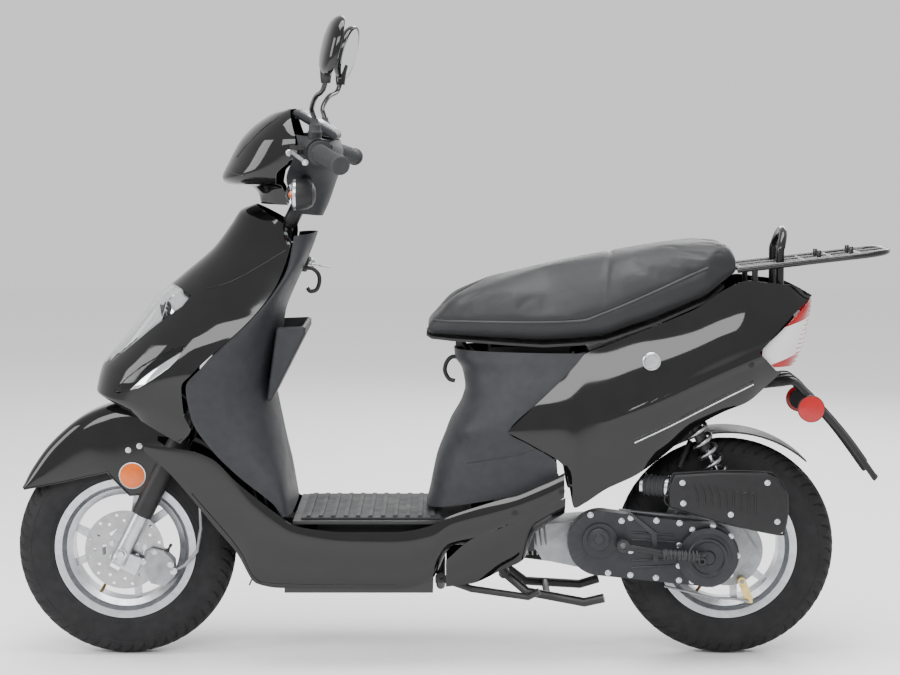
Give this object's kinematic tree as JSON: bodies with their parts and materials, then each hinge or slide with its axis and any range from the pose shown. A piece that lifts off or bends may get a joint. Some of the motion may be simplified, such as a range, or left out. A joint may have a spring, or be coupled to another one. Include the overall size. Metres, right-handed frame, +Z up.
{
  "type": "step-through moped scooter",
  "caption": "Step-through moped scooter with swinging engine unit, telescopic front fork, cast wheels, padded seat over storage and a tubular rear carrier.",
  "frame": {"origin": "centre of the bounding box, on the ground plane under the tyres", "axes": "+X forward along the vehicle, +Y to the rider's left, +Z up"},
  "size_m": [1.722, 0.713, 1.2536],
  "materials": {
    "frame_steel": "satin",
    "body_gloss": "gloss",
    "matt_trim": "matt",
    "black_plastic": "matt",
    "clear_lens": "clear",
    "rear_lens": "clear",
    "bright_metal": "polished",
    "mat_rubber": "matt",
    "grip_rubber": "matt",
    "tyre_rubber": "matt",
    "alloy": "satin",
    "cast_alloy": "cast",
    "cover_grey": "satin",
    "black_metal": "gloss",
    "exhaust_black": "matt",
    "disc_steel": "brushed",
    "spring_steel": "satin",
    "zinc_yellow": "plated",
    "seat_vinyl": "matt grain",
    "switch_yellow": "matt"
  },
  "bodies": {
    "chassis": {"main_frame": "frame_steel", "front_fairing": "body_gloss", "lamp_housings": "bright_metal", "front_lenses": "clear_lens", "leg_shield": "matt_trim", "inner_fender": "black_plastic", "footboard": "matt_trim", "foot_mat": "mat_rubber", "left_side_skirt": "body_gloss", "right_side_skirt": "body_gloss", "belly_pan": "black_plastic", "seat_base_cover": "matt_trim", "left_tail_panel": "body_gloss", "right_tail_panel": "body_gloss", "rear_lenses": "rear_lens", "rear_mudguard": "black_plastic", "luggage_rack": "black_metal", "storage_bucket": "black_plastic", "fuel_tank": "black_plastic"},
    "steering": {"handlebar": "frame_steel", "headset_cowl": "body_gloss", "headset_back": "matt_trim", "left_grip": "grip_rubber", "switch_housings": "black_plastic", "fork_crown": "frame_steel", "front_fender": "body_gloss"},
    "sliders": {"fork_sliders": "alloy", "brake_caliper": "black_metal"},
    "front_wheel": {"front_rim": "alloy", "front_tyre": "tyre_rubber", "brake_disc": "disc_steel"},
    "engine": {"crankcase": "cast_alloy", "cvt_cover": "cover_grey", "air_filter_box": "black_plastic", "exhaust": "exhaust_black", "rear_hugger": "black_plastic"},
    "rear_wheel": {"rear_rim": "alloy", "rear_tyre": "tyre_rubber"},
    "kick_arm": {"kick_lever": "black_metal"},
    "kick_foot": {"kick_pedal": "grip_rubber"},
    "shock_upper": {"shock_body": "black_metal", "shock_spring": "spring_steel"},
    "shock_lower": {"shock_rod": "disc_steel"},
    "rear_brake": {"rear_brake_arm": "zinc_yellow"},
    "centre_stand_leg": {"centre_stand": "black_metal"},
    "side_stand_leg": {"side_stand": "black_metal"},
    "seat": {"seat_cushion": "seat_vinyl", "seat_base": "black_plastic"},
    "left_lever": {"left_brake_lever": "alloy"},
    "right_lever": {"right_brake_lever": "alloy"},
    "throttle": {"throttle_grip": "grip_rubber"},
    "starter": {"starter_button": "switch_yellow"},
    "horn": {"horn_button": "black_plastic"},
    "beam": {"beam_switch": "black_plastic"},
    "indicator": {"indicator_switch": "black_plastic"},
    "left_mirror_head": {"left_mirror": "body_gloss"},
    "right_mirror_head": {"right_mirror": "body_gloss"},
    "key": {"ignition_key": "bright_metal"},
    "lock": {"seat_lock": "bright_metal"},
    "cap": {"fuel_cap": "black_plastic"}
  },
  "joints": [
    {"name": "steering_turn", "type": "hinge", "parent": "chassis", "child": "steering", "pos_m": [0.645, 0, 0.216], "axis": [-0.454, 0, 0.891], "range_deg": [-35, 35]},
    {"name": "fork_travel", "type": "slide", "parent": "steering", "child": "sliders", "axis": [-0.454, 0, 0.891], "range_m": [0, 0.055], "stiffness_N_per_m": 10000, "springref_m": -0.05},
    {"name": "front_wheel_spin", "type": "hinge", "parent": "sliders", "child": "front_wheel", "pos_m": [0.645, 0, 0.216], "axis": [0, 1, 0], "continuous": true},
    {"name": "engine_swing", "type": "hinge", "parent": "chassis", "child": "engine", "pos_m": [-0.15, 0, 0.23], "axis": [0, 1, 0], "range_deg": [0, 6], "stiffness_Nm_per_rad": 1500, "springref_deg": -11.46},
    {"name": "rear_wheel_spin", "type": "hinge", "parent": "engine", "child": "rear_wheel", "pos_m": [-0.545, 0, 0.216], "axis": [0, 1, 0], "continuous": true},
    {"name": "shock_tilt", "type": "hinge", "parent": "chassis", "child": "shock_upper", "pos_m": [-0.445, 0.08, 0.533], "axis": [0, 1, 0], "range_deg": [0, 3]},
    {"name": "shock_stroke", "type": "slide", "parent": "shock_upper", "child": "shock_lower", "axis": [0.4332, 0, 0.9013], "range_m": [0, 0.045], "deforming": ["shock_spring"]},
    {"name": "kick_start", "type": "hinge", "parent": "engine", "child": "kick_arm", "pos_m": [-0.334, 0.139, 0.24], "axis": [0, 1, 0], "range_deg": [-50, 0], "stiffness_Nm_per_rad": 2, "springref_deg": 28.65},
    {"name": "kick_pedal_fold", "type": "hinge", "parent": "kick_arm", "child": "kick_foot", "pos_m": [-0.486, 0.142, 0.211], "axis": [0, 0, 1], "range_deg": [0, 90]},
    {"name": "rear_brake_cam", "type": "hinge", "parent": "engine", "child": "rear_brake", "pos_m": [-0.572, 0.078, 0.158], "axis": [0, 1, 0], "range_deg": [-20, 0], "stiffness_Nm_per_rad": 1, "springref_deg": 28.65},
    {"name": "centre_stand_fold", "type": "hinge", "parent": "chassis", "child": "centre_stand_leg", "pos_m": [-0.105, 0, 0.168], "axis": [0, 1, 0], "range_deg": [-80, 0], "stiffness_Nm_per_rad": 6, "springref_deg": 40.11},
    {"name": "side_stand_fold", "type": "hinge", "parent": "chassis", "child": "side_stand_leg", "pos_m": [0.02, 0.116, 0.17], "axis": [0, 0.8192, 0.5736], "range_deg": [-80, 0], "stiffness_Nm_per_rad": 2, "springref_deg": 34.38},
    {"name": "seat_lift", "type": "hinge", "parent": "chassis", "child": "seat", "pos_m": [-0.016, 0, 0.627], "axis": [0, 1, 0], "range_deg": [0, 60]},
    {"name": "left_lever_pull", "type": "hinge", "parent": "steering", "child": "left_lever", "pos_m": [0.295, 0.186, 1.002], "axis": [0, 0, 1], "range_deg": [0, 14], "stiffness_Nm_per_rad": 1, "springref_deg": -17.19},
    {"name": "right_lever_pull", "type": "hinge", "parent": "steering", "child": "right_lever", "pos_m": [0.295, -0.186, 1.002], "axis": [0, 0, -1], "range_deg": [0, 14], "stiffness_Nm_per_rad": 1, "springref_deg": -17.19},
    {"name": "throttle_twist", "type": "hinge", "parent": "steering", "child": "throttle", "pos_m": [0.252, -0.19, 1.003], "axis": [-0.3433, -0.927, -0.1511], "range_deg": [0, 70], "stiffness_Nm_per_rad": 0.3, "springref_deg": -17.19},
    {"name": "starter_press", "type": "slide", "parent": "steering", "child": "starter", "axis": [1, 0, 0], "range_m": [0, 0.003], "stiffness_N_per_m": 300, "springref_m": -0.003},
    {"name": "horn_press", "type": "slide", "parent": "steering", "child": "horn", "axis": [1, 0, 0], "range_m": [0, 0.003], "stiffness_N_per_m": 300, "springref_m": -0.003},
    {"name": "beam_press", "type": "slide", "parent": "steering", "child": "beam", "axis": [1, 0, 0], "range_m": [0, 0.003], "stiffness_N_per_m": 300, "springref_m": -0.003},
    {"name": "indicator_press", "type": "slide", "parent": "steering", "child": "indicator", "axis": [1, 0, 0], "range_m": [0, 0.003], "stiffness_N_per_m": 300, "springref_m": -0.003},
    {"name": "left_mirror_aim", "type": "hinge", "parent": "steering", "child": "left_mirror_head", "pos_m": [0.23, 0.286, 1.136], "axis": [0, 0, 1], "range_deg": [-20, 20]},
    {"name": "right_mirror_aim", "type": "hinge", "parent": "steering", "child": "right_mirror_head", "pos_m": [0.23, -0.286, 1.136], "axis": [0, 0, 1], "range_deg": [-20, 20]},
    {"name": "key_turn", "type": "hinge", "parent": "chassis", "child": "key", "pos_m": [0.284, -0.045, 0.776], "axis": [-0.9848, 0, -0.1736], "range_deg": [0, 90]},
    {"name": "seat_lock_turn", "type": "hinge", "parent": "chassis", "child": "lock", "pos_m": [-0.385, 0.146, 0.601], "axis": [0, 1, 0], "range_deg": [0, 90]},
    {"name": "fuel_cap_turn", "type": "hinge", "parent": "chassis", "child": "cap", "pos_m": [-0.52, 0, 0.687], "axis": [0, 0, 1], "range_deg": [0, 90]}
  ],
  "couplings": [
    {"joint": "shock_tilt", "follows": "engine_swing", "ratio": 0.428},
    {"joint": "shock_stroke", "follows": "engine_swing", "m_per_rad": 0.4003}
  ]
}
